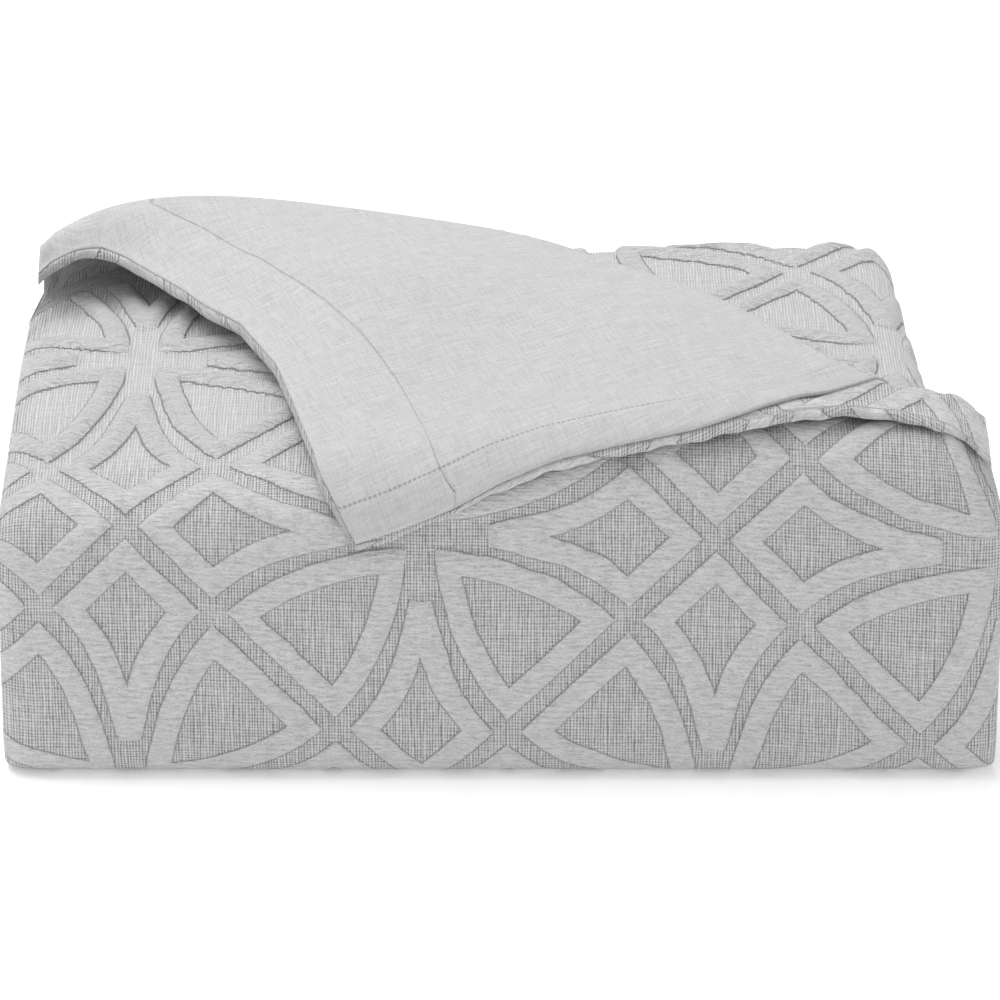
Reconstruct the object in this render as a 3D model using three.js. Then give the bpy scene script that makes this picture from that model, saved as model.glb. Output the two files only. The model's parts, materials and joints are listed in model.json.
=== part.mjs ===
// Folded duvet, one corner of the top layer turned back to show its plain lining.
// Millimetres, +Z up, +X along the folded width, -Y is the tall rounded front.
import * as THREE from 'three';

// Driving dimensions
const halfWidth = 285;          // half of the folded width
const pileDepth = 318;          // front wall to the back folds
const layerCount = 5;           // filled layers inside the outer wrap
const layerGap = 3;             // air between two layers
const wrapGap = 2;              // air under the top of the wrap
const wallThickness = 24;       // filled front wall of the wrap
const wallBelly = 3;            // how far the wall bulges forward
const wallFoot = 10;            // radius where the wall meets the floor
const sideRound = 24;           // length over which a side edge draws in
const sideKeep = 0.4;           // share of the thickness left at a side edge
const plyThickness = 3;         // face cloth of the turned-back corner
const hemThickness = 8;         // top layer where it bends into the roll
const hemTaper = 90;            // length over which the filling thins to the roll
const sheetThickness = 1.8;     // lining and facing cloth
const sheetGap = 0.7;           // between the turned-back cloth and its lining
const seamGap = 0.35;           // half of the parting between lining and facing
const rollEnd = -0.72;          // angle at which the roll slips under the top layer

// Raised pattern: circles on a square net crossed by diagonals
const patternPitch = 167;       // circle radius, and half of the repeat
const patternCentreX = -45;     // a four-way crossing lies here
const secondCrossing = { x: 230, y: 153 };
const bandReach = 23;           // from a network line to the inner edge of its band
const bandBlend = 9;
const reliefHeight = 2.4;

// Height of the pile and of its top layer, left to right
const pileRows = [
  { x: -285, front: 146, back: 221, radius: 34, thick: 20, rowZero: 155 },
  { x: -212, front: 147, back: 222, radius: 36, thick: 20, rowZero: 153 },
  { x: -45, front: 170, back: 228, radius: 40, thick: 20, rowZero: 148 },
  { x: 122, front: 197, back: 233, radius: 36, thick: 14, rowZero: 147 },
  { x: 285, front: 201, back: 233, radius: 30, thick: 9, rowZero: 136 },
];
const rowFrontY = 50;

// Crest of the turned-back corner, and how far its free edge reaches towards the front
const flapRows = [
  { x: -285, crestY: 236, crestZ: 246, edge: 228, lift: 28 },
  { x: -272, crestY: 250, crestZ: 252, edge: 238, lift: 28 },
  { x: -256, crestY: 264, crestZ: 259, edge: 250, lift: 28 },
  { x: -241, crestY: 271, crestZ: 263, edge: 255, lift: 27 },
  { x: -225, crestY: 276, crestZ: 266, edge: 248, lift: 24 },
  { x: -209, crestY: 281, crestZ: 267, edge: 233, lift: 20 },
  { x: -178, crestY: 286, crestZ: 267, edge: 200, lift: 17 },
  { x: -153, crestY: 285, crestZ: 266, edge: 179, lift: 17 },
  { x: -130, crestY: 281, crestZ: 265, edge: 130, lift: 15 },
  { x: -114, crestY: 278, crestZ: 264, edge: 70, lift: 12 },
  { x: -102, crestY: 275, crestZ: 263, edge: 27, lift: 10 },
  { x: -81, crestY: 270, crestZ: 262, edge: -6, lift: 8 },
  { x: -56, crestY: 264, crestZ: 260, edge: 3, lift: 9 },
  { x: -25, crestY: 255, crestZ: 258, edge: 16, lift: 10 },
  { x: 0, crestY: 246, crestZ: 256, edge: 28, lift: 9 },
  { x: 30, crestY: 229, crestZ: 254, edge: 39, lift: 8 },
  { x: 59, crestY: 205, crestZ: 250, edge: 46, lift: 6 },
  { x: 88, crestY: 183, crestZ: 247, edge: 52, lift: 6 },
  { x: 117, crestY: 160, crestZ: 244, edge: 58, lift: 6 },
  { x: 144, crestY: 127, crestZ: 240, edge: 65, lift: 6 },
  { x: 170, crestY: 92, crestZ: 234, edge: 71, lift: 7 },
  { x: 196, crestY: 62, crestZ: 227, edge: 76, lift: 7 },
  { x: 223, crestY: 46, crestZ: 221, edge: 77, lift: 6 },
  { x: 285, crestY: 42, crestZ: 217, edge: 66, lift: 4 },
];

// Seam between facing and lining, as a distance along the top layer
const seamRows = [
  { x: -212, along: 284 },
  { x: -181, along: 267 },
  { x: -143, along: 234 },
  { x: -105, along: 185 },
  { x: -81, along: 151 },
  { x: -57, along: 104 },
  { x: -43, along: 61 },
  { x: -35, along: 33 },
  { x: -25, along: 21 },
];
const facingEndX = -25;
const facingStartX = -212;
const liningEndX = 225;         // the lining runs out here, at the front right corner
const tipX = -81;
const flapSideX = -270;         // left of here the turned-back cloth draws in by half
const leastFlap = 4;            // shortest turned-back length, where the fold runs out
const leastFacing = 5;          // least width left to each cloth beside the seam
const leastLining = 12;
const seamFade = 60;            // length over which the sheet's rows even out past the seam

// Points along each stretch of the section
const facingSteps = 7;
const liningSteps = 11;
const liningBias = 1.25;         // sets the lining's rows closer over the front edge
const flapSteps = facingSteps + liningSteps;
const underSteps = 4;
const layerSteps = 3;
const foldSteps = 4;
const topSteps = 13;
const wallSteps = 11;
const bendSteps = 5;
const coarseStep = patternPitch / 8;
const fineStep = coarseStep / 2;
const fineFrom = -155;
const fineTo = -40;
const stepsLeft = 11;           // coarse steps from the pattern's middle to the left side
const endStep = 4;              // narrow stations beside the two side ends

const lerp = (a, b, t) => a + (b - a) * t;
const clamp = (v, low, high) => Math.min(high, Math.max(low, v));
const smooth = (t) => {
  const c = clamp(t, 0, 1);
  return c * c * (3 - 2 * c);
};

// A column of a table read at any x
function read(rows, column, x) {
  if (x <= rows[0].x) return rows[0][column];
  for (let i = 1; i < rows.length; i++) {
    if (x <= rows[i].x) {
      const t = (x - rows[i - 1].x) / (rows[i].x - rows[i - 1].x);
      return lerp(rows[i - 1][column], rows[i][column], t);
    }
  }
  return rows[rows.length - 1][column];
}

// Shortest distance to the network of circles and diagonals, in millimetres
function networkDistance(u, v) {
  const m0 = Math.round(u);
  const n0 = Math.round(v);
  let best = Infinity;
  for (let m = m0 - 2; m <= m0 + 2; m++) {
    for (let n = n0 - 2; n <= n0 + 2; n++) {
      if ((m + n) % 2 !== 0) best = Math.min(best, Math.abs(Math.hypot(u - m, v - n) - 1));
    }
  }
  for (const w of [u + v, u - v]) {
    const odd = 2 * Math.round((w - 1) / 2) + 1;
    best = Math.min(best, Math.abs(w - odd) * Math.SQRT1_2);
  }
  return best * patternPitch;
}

function relief(u, v) {
  const inside = (bandReach - networkDistance(u, v)) / bandBlend;
  return reliefHeight * (smooth(inside / 2 + 0.5) - 0.5);
}

// Top of the inner layers, rising from the front edge to the back
function pileTop(x, y) {
  const front = read(pileRows, 'front', x);
  const back = read(pileRows, 'back', x);
  return front + (back - front) * (y - rowFrontY) / (pileDepth - rowFrontY);
}

function pileSlope(x) {
  return (read(pileRows, 'back', x) - read(pileRows, 'front', x)) / (pileDepth - rowFrontY);
}

// Shape of the wrap at one x: foot, wall, bend over the front edge, and top
function wrapShape(x) {
  const crestY = read(flapRows, 'crestY', x);
  const radius = read(pileRows, 'radius', x);
  const angle = Math.atan(pileSlope(x));
  const thick = read(pileRows, 'thick', x);
  const topAt = (y) => pileTop(x, y) + wrapGap + lerp(hemThickness, thick, smooth((crestY - y) / hemTaper));
  const bendEndY = radius * (1 - Math.sin(angle));
  const bendStartZ = topAt(bendEndY) - radius * Math.cos(angle);
  const bendLength = radius * (Math.PI / 2 - angle);
  const wallLength = bendStartZ - read(pileRows, 'rowZero', x);
  return { x, crestY, radius, angle, topAt, bendEndY, bendStartZ, bendLength, wallLength };
}

// Point and outward normal of the wrap at a distance from pattern row zero
function wrapPoint(shape, along) {
  const { radius, angle, bendStartZ, bendLength, wallLength, bendEndY, topAt } = shape;
  if (along < wallLength) {
    const z = bendStartZ - (wallLength - along);
    const belly = wallBelly * Math.sin(Math.PI * clamp(z / bendStartZ, 0, 1));
    return { y: -belly, z, ny: -1, nz: 0 };
  }
  if (along < wallLength + bendLength) {
    const turn = (along - wallLength) / radius;
    const ny = -Math.cos(turn);
    const nz = Math.sin(turn);
    return { y: radius + radius * ny, z: bendStartZ + radius * nz, ny, nz };
  }
  const y = bendEndY + (along - wallLength - bendLength) * Math.cos(angle);
  return { y, z: topAt(y), ny: -Math.sin(angle), nz: Math.cos(angle) };
}

function alongAt(shape, y) {
  return shape.wallLength + shape.bendLength + (y - shape.bendEndY) / Math.cos(shape.angle);
}

// How much of a layer's thickness is left near a side edge
function sideShare(x, low, high) {
  const inFromEdge = Math.min(x - low, high - x);
  if (inFromEdge >= sideRound) return 1;
  const t = 1 - clamp(inFromEdge / sideRound, 0, 1);
  return Math.max(sideKeep, Math.sqrt(1 - t * t));
}

// The inner layers are set in from the wrap's side edges
const innerSpan = { low: -277, high: 241 };
const bottomSpan = { low: -283, high: 266 };
const intoSpan = (x, span) => lerp(span.low, span.high, (x + halfWidth) / (2 * halfWidth));

// Upper and lower face of one inner layer
function layerFaces(index, x, y, span) {
  const total = pileTop(x, y);
  const share = sideShare(x, span.low, span.high);
  const low = index === 0 ? 0 : total * index / layerCount + layerGap / 2;
  const high = total * (index + 1) / layerCount - (index === layerCount - 1 ? 0 : layerGap / 2);
  if (index === 0) return { low: 0, high: high * share };
  const middle = (low + high) / 2;
  const half = (high - low) / 2 * share;
  return { low: middle - half, high: middle + half };
}

const layerY = [48, 165, 272];
const backReach = [308, 300];
const frontReach = 28;
const frontFoldDepth = 22;
const backFoldDepth = 30;
const topEndY = pileDepth - 9;
const middleY = [62, 165];      // rows of points on the faces inside the folds
const floorY = [195, 105];
const creaseFromBack = [22, 18];
const creaseFromFold = 4;
const hiddenCorner = 12;        // inside corners keep this far from the front edge
const hiddenFoot = 14;
const rollClear = 2;            // between the end of the roll and the top layer's underside
const patternClear = { from: 20, over: 30 };  // the pattern rises this far behind the crest
const footShare = 0.3;          // chamfer point of the foot
const squeezeFrom = 30;

// Half ellipse between two faces, bulging towards y = reach
function foldArc(x, span, lower, upper, startY, reach, upwards) {
  const low = layerFaces(lower, x, startY, span).low;
  const high = layerFaces(upper, x, startY, span).high;
  const points = [];
  for (let i = 0; i <= foldSteps; i++) {
    const t = Math.PI * (upwards ? i : foldSteps - i) / foldSteps;
    const y = startY + (reach - startY) * Math.sin(t);
    points.push({ x, y, z: (low + high) / 2 - (high - low) / 2 * Math.cos(t) });
  }
  return points;
}

// Nodes of the turned-back corner from its free edge over the crest and round the roll
function flapNodes(shape) {
  const { x, crestY } = shape;
  const crestZ = read(flapRows, 'crestZ', x);
  const edge = read(flapRows, 'edge', x);
  const edgeLift = read(flapRows, 'lift', x);
  const under = pileTop(x, crestY) + wrapGap;
  const rollRadius = (crestZ - under) / 2;
  const rollCentreZ = (crestZ + under) / 2;
  const crestLift = crestZ - shape.topAt(crestY);
  const crestAlong = alongAt(shape, crestY);
  const flapLength = Math.max(crestAlong - edge, leastFlap);
  const rollLength = rollRadius * (Math.PI / 2 - rollEnd);
  const total = flapLength + rollLength;
  const evenRows = total * facingSteps / flapSteps;
  let seam = clamp(read(seamRows, 'along', x) - edge, leastFacing, total - leastLining);
  if (x < facingStartX) seam = evenRows;
  if (x > facingEndX + 1) seam = lerp(seam, evenRows, smooth((x - facingEndX) / seamFade));
  const nodes = [];
  const at = x < flapSideX ? lerp(flapSideX, x, 0.5) : x;
  for (let k = 0; k <= flapSteps; k++) {
    const u = k <= facingSteps
      ? seam * k / facingSteps
      : lerp(seam, total, ((k - facingSteps) / liningSteps) ** liningBias);
    if (u < flapLength) {
      const q = u / flapLength;
      const base = wrapPoint(shape, crestAlong - flapLength + u);
      const lift = lerp(edgeLift, crestLift, smooth(q));
      const ny = lerp(base.ny, 0, q);
      const nz = lerp(base.nz, 1, q);
      const size = Math.hypot(ny, nz);
      nodes.push({ x: at, y: base.y + ny / size * lift, z: base.z + nz / size * lift, inner: plyThickness });
    } else {
      const angle = Math.PI / 2 - (u - flapLength) / rollRadius;
      const turned = (Math.PI / 2 - angle) / (Math.PI / 2 - rollEnd);
      nodes.push({
        x: at,
        y: crestY + rollRadius * Math.cos(angle),
        z: rollCentreZ + rollRadius * Math.sin(angle),
        inner: lerp(plyThickness, Math.min(hemThickness, rollRadius * 0.5), turned),
      });
    }
  }
  addNormals(nodes);
  return nodes;
}

// Outward normals of an open run of nodes, to the side away from the wrap
function addNormals(nodes) {
  nodes.forEach((node, k) => {
    const a = nodes[Math.max(k - 1, 0)];
    const b = nodes[Math.min(k + 1, nodes.length - 1)];
    const size = Math.hypot(b.y - a.y, b.z - a.z);
    node.ny = -(b.z - a.z) / size;
    node.nz = (b.y - a.y) / size;
  });
}

const offsetNode = (node, distance) => ({
  x: node.x,
  y: node.y + node.ny * distance,
  z: node.z + node.nz * distance,
});

// Closed outline of the whole back-and-forth section at one station
function duvetSection(x) {
  const shape = wrapShape(x);
  const flap = flapNodes(shape);
  const share = sideShare(x, -halfWidth, halfWidth);
  const inner = intoSpan(x, innerSpan);
  const bottom = intoSpan(x, bottomSpan);
  const under = (y) => pileTop(x, y) + wrapGap;
  const points = flap.map((node) => ({ x: node.x, y: node.y, z: node.z }));

  // Underside of the top layer, then down the inner face of the front wall
  const squeeze = (y) => (shape.topAt(y) - under(y)) * (1 - share) / 2;
  for (let i = 0; i <= underSteps; i++) {
    const y = lerp(shape.crestY - rollClear, wallThickness + hiddenCorner, i / underSteps);
    points.push({ x, y, z: under(y) + squeeze(y) });
  }
  const wallInner = wallThickness - wallThickness * (1 - share) / 2;
  const cornerZ = under(wallThickness) - hiddenCorner;
  const innerFootZ = layerFaces(0, bottom, wallThickness, bottomSpan).high + hiddenFoot;
  points.push({ x, y: wallInner, z: cornerZ });
  points.push({ x, y: wallInner, z: (cornerZ + innerFootZ) / 2 });
  points.push({ x, y: wallInner, z: innerFootZ });

  // Bottom layer and the first back fold, seen from inside the fold
  for (const y of layerY) points.push({ x: bottom, y, z: layerFaces(0, bottom, y, bottomSpan).high });
  const facePoint = (index, y, face) => {
    points.push({ x: inner, y, z: layerFaces(index, inner, y, innerSpan)[face] });
  };
  const inwards = [...layerY].reverse();
  const crease = (first, at, y, span) => {
    const z = (layerFaces(first, at, y, span).high + layerFaces(first + 1, at, y, span).low) / 2;
    points.push({ x: at, y, z });
  };
  crease(0, (bottom + inner) / 2, backReach[0] - creaseFromBack[0], bottomSpan);

  // Second and third layers round their front fold
  for (const y of inwards) facePoint(1, y, 'low');
  points.pop();
  points.push(...foldArc(inner, innerSpan, 1, 2, frontReach + frontFoldDepth, frontReach, true));
  for (const y of layerY.slice(1)) facePoint(2, y, 'high');
  crease(2, inner, backReach[1] - creaseFromBack[1], innerSpan);

  // Fourth and fifth layers, and the patterned top that shows behind the corner
  for (const y of inwards) facePoint(3, y, 'low');
  points.pop();
  points.push(...foldArc(inner, innerSpan, 3, 4, frontReach + frontFoldDepth, frontReach, true));
  for (let i = 1; i <= topSteps; i++) {
    const y = lerp(frontReach + frontFoldDepth, topEndY, i / topSteps);
    const u = (inner - secondCrossing.x) / patternPitch;
    const v = (y - secondCrossing.y) / patternPitch;
    const open = smooth((y - shape.crestY - patternClear.from) / patternClear.over);
    const raise = (relief(u, v) - reliefHeight / 2) * open;
    points.push({ x: inner, y, z: layerFaces(4, inner, y, innerSpan).high + raise });
  }
  const end = layerFaces(4, inner, topEndY, innerSpan);
  points.push({ x: inner, y: pileDepth, z: lerp(end.low, end.high, 0.6) });
  points.push({ x: inner, y: pileDepth - 1, z: lerp(end.low, end.high, 0.25) });

  // Back again along the other side of every layer
  const frontCreaseY = frontReach + frontFoldDepth + creaseFromFold;
  const backwards = [...middleY].reverse();
  for (const y of [topEndY - creaseFromFold, ...backwards]) facePoint(4, y, 'low');
  crease(3, inner, frontCreaseY, innerSpan);
  for (const y of middleY) facePoint(3, y, 'high');
  points.push(...foldArc(inner, innerSpan, 2, 3, backReach[1] - backFoldDepth, backReach[1], false));
  for (const y of backwards) facePoint(2, y, 'low');
  crease(1, inner, frontCreaseY, innerSpan);
  for (const y of middleY) facePoint(1, y, 'high');
  const backFold = foldArc(bottom, bottomSpan, 0, 1, backReach[0] - backFoldDepth, backReach[0], false);
  backFold[0].x = inner;
  backFold[0].z = layerFaces(1, inner, backFold[0].y, innerSpan).high;
  points.push(...backFold);
  for (const y of floorY) points.push({ x: bottom, y, z: 0 });

  // Foot, wall and bend of the wrap with the raised pattern
  const pinch = wallThickness * (1 - share) / 2;
  points.push({ x, y: wallFoot + pinch, z: 0 });
  points.push({ x, y: wallFoot * footShare + pinch, z: wallFoot * footShare });
  const wrapFace = (along, amount) => {
    const at = wrapPoint(shape, along);
    const raise = relief((x - patternCentreX) / patternPitch, along / patternPitch) * amount;
    const side = at.nz > 0.5 ? squeeze(Math.max(at.y, squeezeFrom)) : pinch;
    const push = raise - lerp(pinch, side, at.nz);
    points.push({ x, y: at.y + at.ny * push, z: at.z + at.nz * push });
  };
  const footAlong = shape.wallLength - shape.bendStartZ + wallFoot;
  for (let i = 0; i <= wallSteps; i++) {
    wrapFace(lerp(footAlong, shape.wallLength, i / wallSteps), smooth(i / 2));
  }
  for (let i = 1; i <= bendSteps; i++) {
    wrapFace(shape.wallLength + shape.bendLength * i / bendSteps, 1);
  }
  const crestAlong = alongAt(shape, shape.crestY - leastFlap);
  for (let i = 1; i <= topSteps - 1; i++) {
    const t = i / (topSteps - 1);
    wrapFace(lerp(shape.wallLength + shape.bendLength, crestAlong, t), smooth((1 - t) * 6));
  }

  // Inside of the roll and under the turned-back cloth, back to its free edge
  for (const node of [...flap].reverse()) points.push(offsetNode(node, -node.inner));
  return points;
}

// Stations across the width, closer where the corner's edge is steep
function stationList() {
  const list = [-halfWidth, -halfWidth + endStep];
  let x = patternCentreX - coarseStep * stepsLeft;
  while (x < halfWidth - coarseStep / 2) {
    list.push(x);
    x += x >= fineFrom && x < fineTo ? fineStep : coarseStep;
  }
  list.push(halfWidth - endStep, halfWidth);
  for (const exact of [tipX, facingEndX, facingStartX]) {
    const nearest = list.reduce((a, b) => (Math.abs(b - exact) < Math.abs(a - exact) ? b : a));
    list[list.indexOf(nearest)] = exact;
  }
  return list;
}
const stations = stationList();

function geometryFrom(vertices, triangles) {
  const geometry = new THREE.BufferGeometry();
  const positions = vertices.flatMap((p) => [p.x, p.y, p.z]);
  geometry.setAttribute('position', new THREE.Float32BufferAttribute(positions, 3));
  geometry.setIndex(triangles.flat());
  geometry.computeVertexNormals();
  return geometry;
}

// Skin through a row of outlines with the same number of points, closed at both ends
function loftSolid(sections) {
  const count = sections[0].length;
  const triangles = [];
  for (let i = 0; i + 1 < sections.length; i++) {
    for (let k = 0; k < count; k++) {
      const next = (k + 1) % count;
      const a = i * count + k;
      const b = i * count + next;
      const c = (i + 1) * count + next;
      const d = (i + 1) * count + k;
      triangles.push([a, c, b], [a, d, c]);
    }
  }
  for (const [index, first] of [[0, true], [sections.length - 1, false]]) {
    const outline = sections[index].map((p) => new THREE.Vector2(p.y, p.z));
    for (const [a, b, c] of THREE.ShapeUtils.triangulateShape(outline, [])) {
      const face = [a, b, c].map((k) => index * count + k);
      triangles.push(first ? face.reverse() : face);
    }
  }
  return geometryFrom(sections.flat(), triangles);
}

// Sheet on chosen cells of the turned-back corner, with its own edges drawn in by the seam gap
function sheetSolid(owns) {
  const flaps = stations.map((x) => flapNodes(wrapShape(x)));
  const vertices = [];
  const triangles = [];
  const index = new Map();
  const cellAt = (i, k) => i >= 0 && k >= 0 && i < stations.length - 1 && k < flapSteps && owns(i, k);
  const vertex = (i, k, side) => {
    const key = `${i},${k},${side}`;
    if (!index.has(key)) {
      const node = { ...flaps[i][k] };
      const atStart = stations[i] === facingStartX && k >= facingSteps;
      const atEnd = stations[i] === facingEndX && k <= facingSteps;
      if (atStart || atEnd) node.x += cellAt(i, Math.min(k, flapSteps - 1)) || cellAt(i, k - 1) ? seamGap : -seamGap;
      const onSeam = k === facingSteps && stations[i] >= facingStartX && stations[i] <= facingEndX;
      if (onSeam) {
        const back = cellAt(i, k) || cellAt(i - 1, k);
        const toward = flaps[i][back ? k + 1 : k - 1];
        const size = Math.hypot(toward.y - node.y, toward.z - node.z);
        node.y += (toward.y - node.y) / size * seamGap;
        node.z += (toward.z - node.z) / size * seamGap;
      }
      index.set(key, vertices.length);
      vertices.push(offsetNode(node, side === 'top' ? sheetGap + sheetThickness : sheetGap));
    }
    return index.get(key);
  };
  for (let i = 0; i < stations.length - 1; i++) {
    for (let k = 0; k < flapSteps; k++) {
      if (!cellAt(i, k)) continue;
      const corners = [[i, k], [i + 1, k], [i + 1, k + 1], [i, k + 1]];
      const top = corners.map(([a, b]) => vertex(a, b, 'top'));
      const base = corners.map(([a, b]) => vertex(a, b, 'base'));
      triangles.push([top[0], top[1], top[2]], [top[0], top[2], top[3]]);
      triangles.push([base[0], base[2], base[1]], [base[0], base[3], base[2]]);
      const neighbours = [[i, k - 1], [i + 1, k], [i, k + 1], [i - 1, k]];
      neighbours.forEach(([a, b], side) => {
        if (cellAt(a, b)) return;
        const next = (side + 1) % 4;
        triangles.push([top[side], base[side], base[next]], [top[side], base[next], top[next]]);
      });
    }
  }
  return geometryFrom(vertices, triangles);
}

const leftOfSeam = (i, k) => {
  if (stations[i] < facingStartX) return true;
  return stations[i] < facingEndX && k < facingSteps;
};

const isLining = (i, k) => !leftOfSeam(i, k) && stations[i + 1] < liningEndX;

function piece(name, geometry, colour, roughness) {
  const material = new THREE.MeshStandardMaterial({ color: colour, roughness, metalness: 0 });
  const mesh = new THREE.Mesh(geometry, material);
  mesh.name = name;
  return mesh;
}

const duvet = new THREE.Group();
duvet.name = 'folded_duvet';
duvet.add(piece('duvet_body', loftSolid(stations.map(duvetSection)), 0xb9babc, 0.95));
duvet.add(piece('lining_panel', sheetSolid(isLining), 0xd6d6d5, 0.9));
duvet.add(piece('facing_strip', sheetSolid(leftOfSeam), 0xd9d9d8, 0.9));

// The origin is the middle of the underside
const reach = new THREE.Box3().setFromObject(duvet);
duvet.position.y = -(reach.min.y + reach.max.y) / 2;

export default duvet;
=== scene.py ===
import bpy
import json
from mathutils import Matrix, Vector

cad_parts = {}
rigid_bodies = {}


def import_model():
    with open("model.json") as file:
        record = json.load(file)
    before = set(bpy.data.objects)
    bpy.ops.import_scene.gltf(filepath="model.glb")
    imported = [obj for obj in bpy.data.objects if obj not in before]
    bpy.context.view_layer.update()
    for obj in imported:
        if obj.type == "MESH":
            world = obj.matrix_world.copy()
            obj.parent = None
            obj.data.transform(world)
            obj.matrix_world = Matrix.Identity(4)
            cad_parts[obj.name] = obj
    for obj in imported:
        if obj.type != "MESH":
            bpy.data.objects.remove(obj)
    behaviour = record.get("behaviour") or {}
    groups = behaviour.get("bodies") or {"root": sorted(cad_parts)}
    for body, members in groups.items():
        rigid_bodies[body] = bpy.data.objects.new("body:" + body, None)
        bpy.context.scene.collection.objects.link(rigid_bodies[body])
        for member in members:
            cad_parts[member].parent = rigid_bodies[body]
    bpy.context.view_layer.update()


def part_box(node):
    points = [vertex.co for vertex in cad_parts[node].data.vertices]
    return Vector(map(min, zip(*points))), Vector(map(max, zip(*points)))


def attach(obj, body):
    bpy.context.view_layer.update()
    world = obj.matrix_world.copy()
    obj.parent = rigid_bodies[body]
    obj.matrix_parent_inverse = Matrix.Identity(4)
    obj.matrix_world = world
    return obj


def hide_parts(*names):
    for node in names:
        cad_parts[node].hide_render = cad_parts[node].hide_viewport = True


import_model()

import json
import math

import bpy
import numpy as np
from mathutils import Vector

# Folded duvet with one corner turned back. Sizes are millimetres, meshes are written in metres.
# Local Y counts from the front wall, so the pile's back is at pile["depth"].


def smooth(t):
    c = np.clip(t, 0, 1)
    return c * c * (3 - 2 * c)


def mix(a, b, t):
    return a + (b - a) * t


# A column of a table read at any x, softened so that its rows leave no kinks
class Profile:
    def __init__(self, rows, column, soften):
        self.x = np.arange(-320.0, 321.0, 1.0)
        self.values = np.interp(self.x, rows["x"], rows[column])
        if soften:
            reach = np.arange(-3 * soften, 3 * soften + 1)
            weight = np.exp(-0.5 * (reach / soften) ** 2)
            wide = np.pad(self.values, len(reach) // 2, mode="edge")
            self.values = np.convolve(wide, weight / weight.sum(), mode="valid")

    def __call__(self, x):
        return float(np.interp(x, self.x, self.values))


# Slow unevenness of each part: how much, the size of its waves, and where they start
waves = {
    "wall": (1.2, 70, 0.4),
    "top": (1.2, 55, 1.1),
    "layer": (0.8, 60, 0.7),
    "fold": (0.09, 65, 1.0),
    "second": (1.3, 50, 3.2),
    "flap": (1.6, 48, 2.3),
    "lipOut": (0.4, 5.5, 0.3),
    "lipThick": (0.2, 8, 1.7),
}


def wave(name, x, y, step=1):
    much, size, start = waves[name]
    turn = start * step
    first = math.sin(x / size + 1.3 * turn) * math.cos(y / (0.8 * size) + turn)
    second = math.sin(x / (0.47 * size) - y / (0.62 * size) + 2.1 * turn)
    return much * (first + 0.6 * second) / 1.6


# Face cloth: circles on a square net, crossed by diagonals, with a puffed band on each side of a line
pattern = {
    "pitch": 167.0,           # circle radius in the cloth
    "centreX": -45.0,
    "secondX": 230.0,         # a crossing on the layer behind
    "secondY": 153.0,
    "strip": 4.9,             # half width of the sunk line
    "band": 19.3,             # from the line to the inner edge of its puffed band
    "neck": 39.0,             # plain strips at a four-way crossing
    "neckHalf": 8.6,
    "knot": 8.2,              # half of the plain square where circle and diagonal cross
    "spread": 5.0,            # the circles part this far before they meet a crossing
    "spreadOver": (0.25, 0.4),    # start and length of that, as shares of the pitch
    "thin": 2.3,              # the sunk line is thinner there by this much
    "height": 2.4,
    "slack": 0.8,             # and stands higher where the cloth lies slack on top
    "puff": (0.42, 0.4),      # power of a band's section where the cloth is taut, and more where slack
    "bandSoft": 0.6,
    "fill": 0.2,              # share of the height that the ground has inside the bands
    "fillOver": 12.0,
}
crossFar = math.sqrt(0.5) * pattern["pitch"]
crossNear = pattern["pitch"] - crossFar


def patternHeight(u, v, raised):
    # Height of the cloth over its sunk lines, u and v in millimetres from a four-way crossing
    pitch, strip, band = pattern["pitch"], pattern["strip"], pattern["band"]
    p = np.abs((u / pitch + 1) % 2 - 1)
    q = np.abs((v / pitch + 1) % 2 - 1)
    spread = pattern["spread"] / pitch
    start, over = pattern["spreadOver"]
    nearRow, nearColumn = 1 - smooth((p - start) / over), 1 - smooth((q - start) / over)
    farRow, farColumn = 1 - smooth((1 - start - p) / over), 1 - smooth((1 - start - q) / over)
    first = np.abs(np.hypot(p - spread * nearColumn - 1, q + spread * farRow) - 1)
    second = np.abs(np.hypot(p + spread * farColumn, q - spread * nearRow - 1) - 1)
    line = np.minimum(np.minimum(first, second), np.abs(p + q - 1) / math.sqrt(2)) * pitch
    line = line + pattern["thin"] * np.maximum(nearRow * nearColumn, farRow * farColumn)

    nearP, nearQ = np.minimum(p, 1 - p) * pitch, np.minimum(q, 1 - q) * pitch
    atCrossing = (p < 0.5) == (q < 0.5)
    plain = atCrossing & (np.minimum(nearP, nearQ) < pattern["neckHalf"])
    plain &= np.maximum(nearP, nearQ) < pattern["neck"]
    for atP, atQ in ((crossFar, crossNear), (crossNear, crossFar)):
        plain |= np.maximum(np.abs(p * pitch - atP), np.abs(q * pitch - atQ)) < pattern["knot"]

    middle, half = (strip + band) / 2, (band - strip) / 2
    slack = np.clip((raised - 1) / pattern["slack"], 0, 1)
    power = pattern["puff"][0] + pattern["puff"][1] * slack
    puff = np.clip(1 - ((line - middle) / (half + pattern["bandSoft"])) ** 2, 0, 1) ** power
    fill = pattern["fill"] * smooth((line - band) / pattern["fillOver"])
    return np.where(plain, 0.0, np.maximum(puff, fill)) * pattern["height"]


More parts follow.
